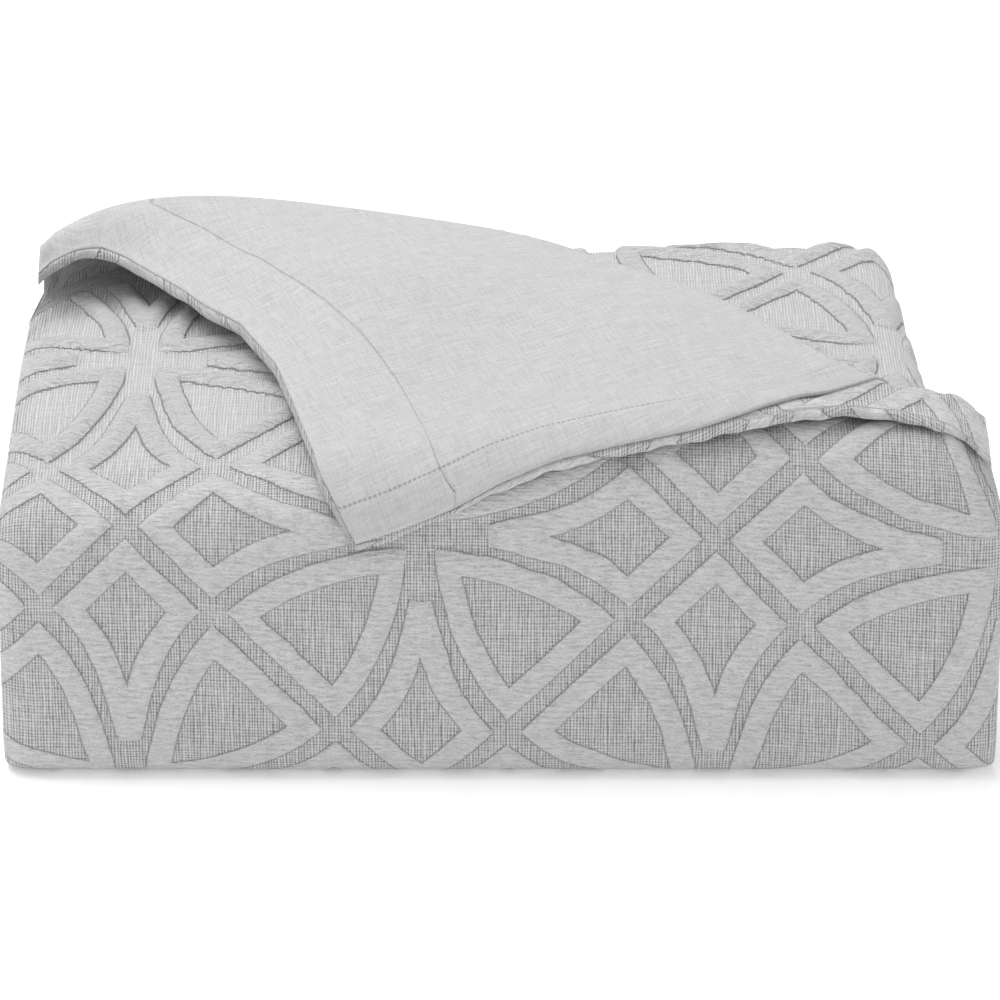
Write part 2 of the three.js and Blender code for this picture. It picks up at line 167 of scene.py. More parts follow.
# The folded pile: filled layers inside an outer wrap
pile = {
    "halfWidth": 285.0,
    "depth": 318.0,
    "layers": 5,
    "layerGap": 3.0,
    "wrapGap": 2.0,
    "wall": 24.0,             # the front of the wrap is this thick
    "belly": 3.0,
    "foot": 20.0,
    "sideRound": 24.0,
    "sideKeep": 0.13,         # share of the thickness that the sides keep
    "rowY": 50.0,             # pileRows give the height here and at the back
    "hem": 8.0,
    "hemTaper": 90.0,
    "step": 2.8,              # spacing of the stations across the width
    "flare": 17.0,            # the upper layers spread this much to the right, towards the front
    "topGrow": 40.0,          # the top's unevenness starts over this length
}
pileRows = {
    "x": [-285, -212, -45, 122, 285],
    "front": [146, 147, 170, 197, 201],
    "back": [221, 222, 228, 233, 233],
    "radius": [34, 36, 40, 36, 30],
    "thick": [20, 20, 20, 14, 9],
    "rowZero": [155, 153, 148, 147, 136],
}
layerSpans = [(-283.0, 266.0), (-277.0, 243.0), (-280.0, 239.0), (-276.0, 244.0), (-278.0, 241.0)]
frontAt, backAt = Profile(pileRows, "front", 30), Profile(pileRows, "back", 30)
radiusAt, thickAt = Profile(pileRows, "radius", 30), Profile(pileRows, "thick", 30)
rowZeroAt = Profile(pileRows, "rowZero", 40)


def pileTop(x, y):
    share = (y - pile["rowY"]) / (pile["depth"] - pile["rowY"])
    return frontAt(x) + (backAt(x) - frontAt(x)) * share


def sideShare(x, low, high):
    inFromEdge = min(x - low, high - x)
    if inFromEdge >= pile["sideRound"]:
        return 1.0
    t = 1 - max(inFromEdge, 0) / pile["sideRound"]
    return max(pile["sideKeep"], math.sqrt(max(0.0, 1 - t * t)))


def layerX(index, x, y=None):
    low, high = layerSpans[index]
    share = (x + pile["halfWidth"]) / (2 * pile["halfWidth"])
    spread = 0.0 if y is None or index == 0 else pile["flare"] * (1 - y / pile["depth"]) * share
    return mix(low, high, share) + spread


def layerFace(index, x, y, upper):
    total = pileTop(x, y)
    count = pile["layers"]
    share = sideShare(x, *layerSpans[index])
    low = 0.0 if index == 0 else total * index / count + pile["layerGap"] / 2
    high = total * (index + 1) / count - (0.0 if index == count - 1 else pile["layerGap"] / 2)
    sway = wave("layer", x, y, index)
    if index == 0:
        return (high + sway) * share if upper else 0.0
    middle, half = (low + high) / 2, (high - low) / 2 * share
    if index < count - 1:
        middle += sway
    return middle + half if upper else middle - half


# The outer wrap at one x: foot, wall, bend over the front edge, and top
class Wrap:
    def __init__(self, x):
        self.x = x
        self.crestY = crestYAt(x)
        self.radius = radiusAt(x)
        self.thick = thickAt(x)
        self.angle = math.atan((backAt(x) - frontAt(x)) / (pile["depth"] - pile["rowY"]))
        self.bendY = self.radius * (1 - math.sin(self.angle))
        self.bendZ = self.topAt(self.bendY) - self.radius * math.cos(self.angle)
        self.bendLong = self.radius * (math.pi / 2 - self.angle)
        self.wallLong = self.bendZ - rowZeroAt(x)
        self.share = sideShare(x, -pile["halfWidth"], pile["halfWidth"])

    def underAt(self, y):
        return pileTop(self.x, y) + pile["wrapGap"]

    def topAt(self, y):
        thick = mix(pile["hem"], self.thick, smooth((self.crestY - y) / pile["hemTaper"]))
        return self.underAt(y) + thick

    def alongAt(self, y):
        return self.wallLong + self.bendLong + (y - self.bendY) / math.cos(self.angle)

    # How far each face of the top draws in at the sides
    def squeeze(self, y):
        return (self.topAt(y) - self.underAt(y)) * (1 - self.share) / 2

    # Point and outward normal at a distance from the pattern's row zero
    def point(self, along):
        if along < self.wallLong:
            z = self.bendZ - (self.wallLong - along)
            swell = math.sin(math.pi * min(max(z / self.bendZ, 0), 1))
            uneven = wave("wall", self.x, z) * swell * self.share
            return -pile["belly"] * swell - uneven, z, -1.0, 0.0
        if along < self.wallLong + self.bendLong:
            turn = (along - self.wallLong) / self.radius
            ny, nz = -math.cos(turn), math.sin(turn)
            return self.radius + self.radius * ny, self.bendZ + self.radius * nz, ny, nz
        y = self.bendY + (along - self.wallLong - self.bendLong) * math.cos(self.angle)
        grow = float(smooth((y - self.bendY) / pile["topGrow"])) * self.share
        z = self.topAt(y) + wave("top", self.x, y) * grow
        return y, z, -math.sin(self.angle), math.cos(self.angle)


# The turned-back corner: crest, free edge and its lift over the cloth below, read off the photo
flapRows = {
    "x": [-285, -272, -256, -241, -225, -209, -178, -153, -130, -114, -102, -81, -56, -25, 0, 30, 59, 88, 117,
          144, 170, 196, 223, 285],
    "crestY": [236, 250, 264, 271, 276, 281, 286, 285, 281, 278, 275, 270, 264, 255, 246, 229, 205, 183, 160,
               127, 92, 62, 46, 42],
    "crestZ": [246, 252, 259, 263, 266, 267, 267, 266, 265, 264, 263, 262, 260, 258, 256, 254, 250, 247, 244,
               240, 234, 227, 221, 217],
    "edge": [232, 243, 256, 261, 253, 236, 198, 176, 130, 70, 27, -6, 3, 16, 28, 39, 46, 52, 58,
             65, 71, 76, 77, 66],
    "lift": [30, 32, 34, 33, 28, 22, 18, 17, 15, 12, 9, 6, 6, 7, 8, 8.5, 9, 9.5, 10,
             10.5, 11, 11, 9, 4],
}
seamRows = {
    "x": [-212, -181, -163, -143, -125, -105, -81, -69, -57, -43, -35, -25],
    "along": [284, 267, 251, 234, 211, 185, 151, 128, 104, 61, 33, 21],
}
insetRows = {
    "x": [60, 110, 135, 160, 182, 200, 212, 222],
    "inset": [0, 0.5, 3, 7, 12, 19, 26, 34],     # bare rolled cloth below the lining
}
flapSize = {
    "tipX": -81.0,
    "facingFrom": -212.0,
    "facingTo": -25.0,
    "liningTo": 222.0,
    "sideX": -270.0,          # left of here the turned-back cloth draws in
    "sideDraw": 0.5,
    "ply": 3.0,               # face cloth of the turned-back corner
    "least": 4.0,             # shortest length from free edge to crest
    "rollEnd": -0.85,         # angle where the roll ends, under the pile's top
    "insetKeep": 8.0,         # room that inset and seam leave before the end of the roll
    "seamKeep": (3.0, 12.0),
    "seamFade": (40.0, 60.0), # past the strip's two ends the seam blends into an even spacing
    "facingSteps": 30,
    "liningSteps": 90,
}
crestYAt, crestZAt = Profile(flapRows, "crestY", 9), Profile(flapRows, "crestZ", 12)
edgeAt, liftAt = Profile(flapRows, "edge", 0), Profile(flapRows, "lift", 8)
seamAt = Profile(seamRows, "along", 4)
insetAt = Profile(insetRows, "inset", 3)


# Nodes x, y, z, ply and place along the cloth, from the free edge over the crest and round the roll
def flapNodes(wrap, inset=0.0):
    x = wrap.x
    crestZ, edge = crestZAt(x), edgeAt(x)
    under = wrap.underAt(wrap.crestY)
    rollRadius, rollZ = (crestZ - under) / 2, (crestZ + under) / 2
    rollTurn = math.pi / 2 - flapSize["rollEnd"]
    crestLift = crestZ - wrap.topAt(wrap.crestY)
    crestAlong = wrap.alongAt(wrap.crestY)
    flapLong = max(crestAlong - edge, flapSize["least"])
    total = flapLong + rollRadius * rollTurn

    facing, lining = flapSize["facingSteps"], flapSize["liningSteps"]
    inset = min(inset, total - flapSize["insetKeep"])
    even = inset + (total - inset) * facing / (facing + lining)
    keepEdge, keepEnd = flapSize["seamKeep"]
    seam = min(max(seamAt(x) - edge, keepEdge), total - keepEnd)
    fadeLeft, fadeRight = flapSize["seamFade"]
    if x < flapSize["facingFrom"]:
        seam = mix(seam, even, float(smooth((flapSize["facingFrom"] - x) / fadeLeft)))
    elif x > flapSize["facingTo"] + 1:
        seam = mix(seam, even, float(smooth((x - flapSize["facingTo"]) / fadeRight)))

    drawn = mix(flapSize["sideX"], x, flapSize["sideDraw"]) if x < flapSize["sideX"] else x
    nodes = []
    for k in range(facing + lining + 1):
        u = mix(inset, seam, k / facing) if k <= facing else mix(seam, total, (k - facing) / lining)
        if u < flapLong:
            q = u / flapLong
            y, z, ny, nz = wrap.point(crestAlong - flapLong + u)
            uneven = wave("flap", x + 0.6 * u, u) * math.sin(math.pi * q)
            lift = mix(liftAt(x), crestLift, float(smooth(q))) + uneven
            ny, nz = mix(ny, 0.0, q), mix(nz, 1.0, q)
            size = math.hypot(ny, nz)
            y, z, ply = y + ny / size * lift, z + nz / size * lift, flapSize["ply"]
        else:
            turned = (u - flapLong) / rollRadius
            y = wrap.crestY + rollRadius * math.sin(turned)
            z = rollZ + rollRadius * math.cos(turned)
            ply = mix(flapSize["ply"], min(pile["hem"], rollRadius / 2), turned / rollTurn)
        nodes.append([drawn, y, z, ply, edge + u])
    found = np.array(nodes)
    slope = np.gradient(found[:, 1:3], axis=0)
    slope /= np.linalg.norm(slope, axis=1)[:, None]
    return found, np.stack([-slope[:, 1], slope[:, 0]], axis=1)


# Inner folds, and where the runs between them start and end, from the front wall
folds = {
    "points": 12,             # in each run
    "arcPoints": 16,          # round each fold
    "frontReach": 28.0,
    "frontFold": 22.0,
    "backReach": (308.0, 301.0),
    "backFold": 28.0,
    "creaseIn": 20.0,
    "lowestStart": 42.0,
    "upperEnd": (280.0, 272.0),
    "lowerStart": (274.0, 266.0),
    "lastIn": 10.0,           # the top layer's back end is this far inside the depth
    "lastOut": 9.5,           # and is rounded by this much
    "floorEnd": 34.0,
}


# Points of one closed section of the folded duvet
class Section:
    def __init__(self):
        self.rows = []

    # The pattern place is u across and v along the cloth, and raised says how far its relief shows
    def add(self, x, y, z, ny=0.0, nz=1.0, u=0.0, v=0.0, raised=0.0):
        self.rows.append((x, y, z, ny, nz, u, v, raised))

    def layer(self, index, x, upper, start, end):
        at = layerX(index, x)
        for y in np.linspace(start, end, folds["points"]):
            z = layerFace(index, at, y, upper)
            self.add(layerX(index, x, y), y, z, 0, 1 if upper else -1, at, abs(y - start))

    # Half ellipse from the lower layer's underside to the upper layer's top, or back down
    def fold(self, lower, x, start, reach, upwards, v):
        count = folds["arcPoints"]
        low = layerFace(lower, layerX(lower, x), start, False)
        high = layerFace(lower + 1, layerX(lower + 1, x), start, True)
        half = (high - low) / 2
        for i in range(count + 1):
            t = math.pi * (i if upwards else count - i) / count
            out = math.sin(t)
            y = start + (reach - start) * out * (1 + wave("fold", x, 0, lower) * out)
            z = (low + high) / 2 - half * math.cos(t)
            at = mix(layerX(lower, x, y), layerX(lower + 1, x, y), (1 - math.cos(t)) / 2)
            ny = math.copysign(out, reach - start)
            along = v + i * half * math.pi / count
            self.add(at, y, z, ny, -math.cos(t), at, along, 0.0 if upwards else out)

    def crease(self, lower, x, y):
        at = (layerX(lower, x) + layerX(lower + 1, x)) / 2
        z = (layerFace(lower, at, y, True) + layerFace(lower + 1, at, y, False)) / 2
        self.add((layerX(lower, x, y) + layerX(lower + 1, x, y)) / 2, y, z)


# Rolled lip of face cloth at the free edge, out past the lining's edge
lip = {
    "out": 2.2,
    "thick": 6.5,
    "points": 9,
    "back": 0.2,              # it starts this share of its reach behind the edge, and swells
    "swell": 1.3,
    "rise": 0.6,
    "clear": 0.8,             # room that it leaves over the cloth below
}


def addLip(section, x, u, flap, normals):
    outY, outZ = flap[0, 1:3] - flap[2, 1:3]
    size = math.hypot(outY, outZ)
    outY, outZ = outY / size, outZ / size
    out = lip["out"] * (1 + wave("lipOut", x, 0))
    half = lip["thick"] / 2 * (1 + wave("lipThick", x, 0))
    half = min(half, (liftAt(x) - lip["clear"]) / 2)
    ny, nz = normals[0]
    for i, t in enumerate(np.linspace(-math.pi / 2, math.pi / 2, lip["points"])):
        far, side = math.cos(t), math.sin(t)
        reach = out * (lip["back"] + lip["swell"] * far)
        rise = half * side - half + lip["rise"]
        y, z = flap[0, 1] + outY * reach + ny * rise, flap[0, 2] + outZ * reach + nz * rise
        section.add(flap[0, 0], y, z, outY * far + ny * side, outZ * far + nz * side, u, flap[0, 4] - i)


# Face of the turned-back cloth under the lining, plain where the lining hides it
def addFlapFace(section, x, u, flap, normals):
    bare = float(smooth((x - 150) / 60))
    for k in [*range(3, 30, 2), *range(31, len(flap), 4)]:
        raised = 0.8 * bare * float(smooth((k - 4) / 8))
        section.add(flap[k, 0], flap[k, 1], flap[k, 2], *normals[k], u, flap[k, 4], raised)
    section.add(flap[-1, 0], flap[-1, 1], flap[-1, 2], 0, 1, u, flap[-1, 4])


# Underside of the wrap's top and the inner face of its wall
def addInside(section, x, wrap):
    wall = pile["wall"]
    for y in np.linspace(wrap.crestY - 2, wall + 12, 14):
        section.add(x, y, wrap.underAt(y) + wrap.squeeze(y))
    topZ = wrap.underAt(wall) - 12
    lowZ = layerFace(0, layerX(0, x), wall, True) + 14
    for z in np.linspace(topZ, lowZ, 8):
        section.add(x, wall * (1 + wrap.share) / 2, z)


# Patterned top that shows behind the turned-back corner, and its rounded back end
def addSecondTop(section, x, wrap, foldY):
    index = pile["layers"] - 1
    at = layerX(index, x)
    endY = pile["depth"] - folds["lastIn"]
    standing = 1 + pattern["slack"]
    hidden = np.linspace(foldY + 6, max(wrap.crestY + 6, foldY + 8), 8)
    shown = np.linspace(max(wrap.crestY + 9, foldY + 12), endY, 72)
    for y in np.concatenate([hidden, shown]):
        clear = float(smooth((y - wrap.crestY - 14) / 24))
        z = layerFace(index, at, y, True) + wave("second", at, y) * clear
        place = layerX(index, x, y)
        u, v = place - pattern["secondX"], y - pattern["secondY"]
        section.add(place, y, z, 0, 1, u, v, clear * standing)

    low, high = layerFace(index, at, endY, False), layerFace(index, at, endY, True)
    middle, half = (low + high) / 2, (high - low) / 2
    place = layerX(index, x, endY)
    u = place - pattern["secondX"]
    for t in np.linspace(80, -80, 13):
        ny, nz = math.cos(math.radians(t)), math.sin(math.radians(t))
        v = endY - pattern["secondY"] + half * math.radians(90 - t)
        raised = standing * max(0.0, math.sin(math.radians(t + 10)))
        section.add(place, endY + folds["lastOut"] * ny, middle + half * nz, ny, nz, u, v, raised)
    return endY


# Foot, wall, bend and top of the wrap, with the pattern raised in them
def addWrapFace(section, x, u, wrap):
    pinch = pile["wall"] * (1 - wrap.share) / 2
    footAlong = wrap.wallLong - wrap.bendZ
    for t in np.radians(np.linspace(0, 75, 5)):
        y, z = pinch + pile["foot"] * (1 - math.sin(t)), pile["foot"] * (1 - math.cos(t))
        section.add(x, y, z, -math.sin(t), -math.cos(t), u, footAlong + z)

    bendEnd = wrap.wallLong + wrap.bendLong
    topEnd = wrap.alongAt(wrap.crestY - 4)
    wall = np.linspace(footAlong + pile["foot"], wrap.wallLong, 62)[:-1]
    bend = np.linspace(wrap.wallLong, bendEnd, 24)[:-1]
    top = np.linspace(bendEnd, topEnd, 74)
    runs = [(along, min(1.0, i / 4)) for i, along in enumerate(wall)]
    runs += [(along, 1.0) for along in bend]
    for along in top:
        slack = 1 + pattern["slack"] * float(smooth((along - bendEnd) / 50))
        runs.append((along, slack * min(1.0, (topEnd - along) / 25)))
    for along, raised in runs:
        y, z, ny, nz = wrap.point(along)
        pull = mix(pinch, wrap.squeeze(max(y, 30)), nz)
        section.add(x, y - ny * pull, z - nz * pull, ny, nz, u, along, raised * wrap.share)


# Inside of the roll and the underside of the turned-back cloth, back to its free edge
def addFlapUnder(section, u, flap, normals):
    for k in range(len(flap) - 1, 2, -3):
        x, y, z, ply, along = flap[k]
        ny, nz = normals[k]
        raised = 0.4 * float(smooth(k / 20)) * float(smooth((len(flap) - k) / 40))
        section.add(x, y - ny * ply, z - nz * ply, -ny, -nz, u, along, raised)


def duvetSection(x):
    wrap = Wrap(x)
    flap, normals = flapNodes(wrap)
    u = x - pattern["centreX"]
    foldY = folds["frontReach"] + folds["frontFold"]
    section = Section()
    addLip(section, x, u, flap, normals)
    addFlapFace(section, x, u, flap, normals)
    addInside(section, x, wrap)

    # Back and forth through the layers on their upper side
    for pair, start in enumerate((folds["lowestStart"], foldY + 12)):
        lower = 2 * pair
        section.layer(lower, x, True, start, folds["upperEnd"][pair])
        section.crease(lower, x, folds["backReach"][pair] - folds["creaseIn"])
        section.layer(lower + 1, x, False, folds["lowerStart"][pair], foldY + 8)
        section.fold(lower + 1, x, foldY, folds["frontReach"], True, 0)
    endY = addSecondTop(section, x, wrap, foldY)

    # And forth again on their other side
    section.layer(pile["layers"] - 1, x, False, endY - 4, foldY + 14)
    for pair in (1, 0):
        lower = 2 * pair
        backY = folds["backReach"][pair] - folds["backFold"]
        section.crease(lower + 1, x, foldY + 4)
        section.layer(lower + 1, x, True, foldY + 14, backY - 4)
        section.fold(lower, x, backY, folds["backReach"][pair], False, pile["depth"] * (2 - pair))
        if pair:
            section.layer(lower, x, False, backY - 4, foldY + 14)
    for y in np.linspace(backY - 8, folds["floorEnd"], 10):
        section.add(layerX(0, x), y, 0.0, 0, -1, layerX(0, x), y)
    addWrapFace(section, x, u, wrap)
    addFlapUnder(section, u, flap, normals)
    return np.array(section.rows)


# Stations across the width, close together where the sides round off
def stationList():
    half, step = pile["halfWidth"], pile["step"]
    ends = [0, 0.5, 1.6, 3.2, 5.4, 8, 11, 14.5, 18.5]
    innerHalf = half - 22
    inner = np.linspace(-innerHalf, innerHalf, round(2 * innerHalf / step))
    listed = np.concatenate([[-half + e for e in ends], inner, [half - e for e in reversed(ends)]])
    for exact in ("tipX", "facingTo", "facingFrom", "liningTo"):
        listed[np.abs(listed - flapSize[exact]).argmin()] = flapSize[exact]
    return listed


stations = stationList()
bodyLow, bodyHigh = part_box("duvet_body")
shiftY = bodyHigh[1] * 1000 - pile["depth"]

# The right end draws in at its top, and the front fold sinks towards it
rightEnd = {
    "lean": 9.0,
    "leanX": (235.0, 50.0),   # start and length of each change
    "leanZ": (150.0, 60.0),
    "sink": 13.0,
    "sinkX": 252.0,
    "sinkY": (30.0, 90.0),
    "sinkZ": (140.0, 70.0),
}


def eased(values, change):
    start, over = rightEnd[change]
    return smooth((values - start) / over)


def toObject(name, vertices, faces, layers, material):
    mesh = bpy.data.meshes.new(name)
    placed = np.array(vertices, dtype=float)
    x, y, z = placed.T
    outer = np.clip((x - rightEnd["sinkX"]) / (pile["halfWidth"] - rightEnd["sinkX"]), 0, 1) ** 2
    sink = rightEnd["sink"] * outer * eased(z, "sinkZ") * (1 - eased(y, "sinkY"))
    placed[:, 0] -= rightEnd["lean"] * eased(x, "leanX") * eased(z, "leanZ")
    placed[:, 2] -= sink
    placed[:, 1] += shiftY
    mesh.from_pydata((placed / 1000).tolist(), [], faces)
    corners = np.empty(len(mesh.loops), dtype=np.int32)
    mesh.loops.foreach_get("vertex_index", corners)
    for layerName, values in layers.items():
        layer = mesh.uv_layers.new(name=layerName)
        layer.data.foreach_set("uv", (np.array(values) / 1000)[corners].astype(np.float32).ravel())
    mesh.materials.append(material)
    mesh.polygons.foreach_set("use_smooth", [True] * len(mesh.polygons))
    mesh.validate()
    made = bpy.data.objects.new(name, mesh)
    bpy.context.scene.collection.objects.link(made)
    return made


def makeDuvetBody(material):
    sections = [duvetSection(x) for x in stations]
    count = len(sections[0])
    rows = np.concatenate(sections)
    cloth, raised = rows[:, 5:7], rows[:, 7]
    relief = (patternHeight(*cloth.T, raised) - pattern["height"] / 2) * raised
    slack = 1000 * np.clip((raised - 1) / pattern["slack"], 0, 1)
    vertices = rows[:, :3].copy()
    vertices[:, 1:3] += rows[:, 3:5] * relief[:, None]
    vertices[:, 2] = np.maximum(vertices[:, 2], 0.0)
    faces = []
    for i in range(len(stations) - 1):
        for k in range(count):
            a, b = i * count + k, i * count + (k + 1) % count
            faces.append((a, a + count, b + count, b))
    faces.append(tuple(range(count)))
    faces.append(tuple(reversed(range((len(stations) - 1) * count, len(stations) * count))))
    print("duvet body:", len(faces), "faces,", count, "points a section")
    layers = {"cloth": cloth, "slack": np.stack([slack, slack], axis=1)}
    return toObject("quilted_duvet", vertices, faces, layers, material)


# Nearest distance from places on the cloth to an edge drawn as a line of points
def edgeDistance(places, edge):
    best = np.full(len(places), np.inf)
    for a, b in zip(edge[:-1], edge[1:]):
        along = b - a
        t = np.clip(((places - a) @ along) / (along @ along), 0, 1)
        best = np.minimum(best, np.linalg.norm(places - (a + t[:, None] * along), axis=1))
    return best


# Lining and facing: two sheets that meet at the seam
sheets = {
    "thick": 1.6,
    "gap": 0.5,               # over the face cloth
    "turn": 24.0,             # degrees that the cloth is turned on the pile
    "edgeIn": 0.4,            # share of the first step that the free edge stays back
    "seamIn": 0.3,
    "hemWide": 20.0,
    "hemRise": 1.1,
    "hemEase": (1.5, 3.0),    # the hem's inner step starts this far past the stitches, and its length
    "stitchDeep": 0.45,
    "stitchWide": 1.6,
    "rimThin": 0.55,          # share that the sheet thins at its rim
    "rimWide": 1.2,
    "ridgeIn": 20.0,          # pressed ridge, in from the left edge
}


def makeSheet(name, owns, material):
    flaps = [flapNodes(Wrap(x), insetAt(x)) for x in stations]
    steps = len(flaps[0][0]) - 1
    tipX = flapSize["tipX"]
    leftEdge = np.array([(x, edgeAt(x)) for x in np.arange(-285.0, tipX + 0.5, 3.0)])
    hemEdge = np.array([(x, edgeAt(x) + insetAt(x)) for x in np.arange(tipX, 222.0, 3.0)])
    index, vertices, places, faces = {}, [], [], []

    def cell(i, k):
        return 0 <= i < len(stations) - 1 and 0 <= k < steps and owns(i, k)

    def vertex(i, k, top):
        key = (i, k, top)
        if key not in index:
            nodes, normals = flaps[i]
            x, y, z = nodes[k, :3]
            if k == 0:
                y, z = mix(nodes[0, 1:3], nodes[1, 1:3], sheets["edgeIn"])
            onStrip = flapSize["facingFrom"] <= stations[i] <= flapSize["facingTo"]
            if k == flapSize["facingSteps"] and onStrip:
                toward = k + 1 if cell(i, k) or cell(i - 1, k) else k - 1
                step = nodes[toward, 1:3] - nodes[k, 1:3]
                y, z = nodes[k, 1:3] + step / np.linalg.norm(step) * sheets["seamIn"]
            index[key] = len(vertices)
            vertices.append([x, y, z, normals[k, 0], normals[k, 1], 1.0 if top else 0.0])
            places.append([nodes[k, 0], nodes[k, 4]])
        return index[key]

    for i in range(len(stations) - 1):
        for k in range(steps):
            if not cell(i, k):
                continue
            corners = [(i, k), (i + 1, k), (i + 1, k + 1), (i, k + 1)]
            top = [vertex(a, b, True) for a, b in corners]
            base = [vertex(a, b, False) for a, b in corners]
            faces.append(tuple(top))
            faces.append(tuple(reversed(base)))
            for side, (a, b) in enumerate([(i, k - 1), (i + 1, k), (i, k + 1), (i - 1, k)]):
                if not cell(a, b):
                    after = (side + 1) % 4
                    faces.append((top[side], base[side], base[after], top[after]))

    # Thicker hem, sunk stitches and a thin rim
    rows, places = np.array(vertices), np.array(places)
    fromLeft, fromHem = edgeDistance(places, leftEdge), edgeDistance(places, hemEdge)
    hemPast, hemOver = sheets["hemEase"]
    hem = smooth((sheets["hemWide"] + hemPast - fromHem) / hemOver) * sheets["hemRise"]
    stitch = sheets["stitchDeep"] * np.exp(-((fromHem - sheets["hemWide"]) / sheets["stitchWide"]) ** 2)
    rim = 1 - sheets["rimThin"] * np.exp(-np.minimum(fromLeft, fromHem) / sheets["rimWide"])
    out = sheets["gap"] + (sheets["thick"] * rim + hem - stitch) * rows[:, 5]
    placed = rows[:, :3].copy()
    placed[:, 1:3] += rows[:, 3:5] * out[:, None]

    # The weave runs turned on the pile, counted from the tip of the corner
    turn = math.radians(sheets["turn"])
    across, along = (places - (tipX, edgeAt(tipX))).T
    warp = across * math.cos(turn) + along * math.sin(turn)
    weft = along * math.cos(turn) - across * math.sin(turn)
    layers = {"cloth": np.stack([warp, weft], axis=1), "edge": np.stack([fromLeft, fromHem], axis=1)}
    print(name + ":", len(faces), "faces")
    return toObject(name, placed, faces, layers, material)


def mathNode(operation, swapped=False):
    def made(self, *others):
        inputs = [*others, self] if swapped else [self, *others]
        return self.tree.node("ShaderNodeMath", {"operation": operation}, inputs)
    return made


# One socket of a material's node tree, so that shader maths reads as plain sums
class Field:
    def __init__(self, tree, socket):
        self.tree = tree
        self.socket = socket

    __add__ = mathNode("ADD")
    __sub__ = mathNode("SUBTRACT")
    __rsub__ = mathNode("SUBTRACT", swapped=True)
    __mul__ = mathNode("MULTIPLY")
    __truediv__ = mathNode("DIVIDE")
    __mod__ = mathNode("FLOORED_MODULO")
    __abs__ = mathNode("ABSOLUTE")
    __lt__ = mathNode("LESS_THAN")
    __gt__ = mathNode("GREATER_THAN")
    least = mathNode("MINIMUM")
    most = mathNode("MAXIMUM")
    sine = mathNode("SINE")
    root = mathNode("SQRT")

    def square(self):
        return self * self

    # 0 below start, 1 above end, eased between
    def ramp(self, start, end):
        settings = {"interpolation_type": "SMOOTHSTEP"}
        return self.tree.node("ShaderNodeMapRange", settings, [self, start, end, 0.0, 1.0])

    # Threads this far apart, from 0 in the gaps to 1 on top
    def threads(self, apart):
        return (self * (2 * math.pi / apart)).sine() * 0.5 + 0.5


# Unevenness in the cloths: cycles a millimetre across and along, detail and roughness
grains = {
    "fray": (0.75, 1.1, 3.0, 0.6),
    "sway": (0.045, 0.045, 1.0, 0.5),
    "driftAcross": (0.35, 0.03, 2.0, 0.5),
    "driftAlong": (0.03, 0.35, 2.0, 0.5),
    "streakAcross": (0.55, 0.05, 3.0, 0.65),
    "streakAlong": (0.05, 0.55, 3.0, 0.65),
    "blotch": (0.5, 0.5, 3.0, 0.6),
    "crinkle": (0.11, 0.55, 3.0, 0.65),
    "fine": (0.5, 1.7, 3.0, 0.7),
    "dents": (0.10, 0.16, 2.0, 0.5),
    "longSlub": (0.05, 0.85, 3.0, 0.65),
    "crossSlub": (0.95, 0.06, 3.0, 0.65),
    "speck": (0.8, 0.8, 2.0, 0.6),
    "pucker": (0.22, 0.05, 2.0, 0.5),
}


class Tree:
    def __init__(self, name):
        self.material = bpy.data.materials.new(name)
        self.material.use_nodes = True
        self.nodes = self.material.node_tree.nodes
        self.links = self.material.node_tree.links
        self.nodes.clear()

    def node(self, kind, settings=None, inputs=(), output=0):
        made = self.nodes.new(kind)
        for key, value in (settings or {}).items():
            setattr(made, key, value)
        named = inputs.items() if isinstance(inputs, dict) else enumerate(inputs)
        for key, value in named:
            if isinstance(value, Field):
                self.links.new(value.socket, made.inputs[key])
            elif value is not None:
                made.inputs[key].default_value = value
        return Field(self, made.outputs[output] if made.outputs else None)

    # The two values that a mesh layer holds
    def pair(self, layer):
        place = self.node("ShaderNodeUVMap", {"uv_map": layer})
        made = self.node("ShaderNodeSeparateXYZ", None, [place])
        return made, Field(self, made.socket.node.outputs[1])

    def millimetres(self, layer):
        first, second = self.pair(layer)
        return first * 1000.0, second * 1000.0

    def noise(self, place, scale, detail, rough):
        inputs = {"Vector": place, "Scale": scale, "Detail": detail, "Roughness": rough}
        return self.node("ShaderNodeTexNoise", None, inputs)

    def grain(self, u, v, name):
        across, along, detail, rough = grains[name]
        place = self.node("ShaderNodeCombineXYZ", None, [u * across, v * along, 0.0])
        return self.noise(place, 1.0, detail, rough)

    def blend(self, share, first, second):
        made = self.node("ShaderNodeMix", {"data_type": "RGBA"}, {"Factor": share})
        node = made.socket.node
        for socket, value in zip([s for s in node.inputs if s.type == "RGBA"], (first, second)):
            if isinstance(value, Field):
                self.links.new(value.socket, socket)
            else:
                socket.default_value = (*value, 1.0)
        return Field(self, next(s for s in node.outputs if s.type == "RGBA"))

    def bump(self, height, distance, strength):
        inputs = {"Height": height, "Distance": distance, "Strength": strength}
        return self.node("ShaderNodeBump", None, inputs)

    def cloth(self, colour, roughness, normal, sheen):
        shader = self.node("ShaderNodeBsdfPrincipled", None, {
            "Base Color": colour, "Roughness": roughness, "Normal": normal,
            "Sheen Weight": sheen["weight"], "Sheen Roughness": sheen["rough"], "Specular IOR Level": 0.25,
        })
        self.node("ShaderNodeOutputMaterial", None, {"Surface": shader})
        return self.material


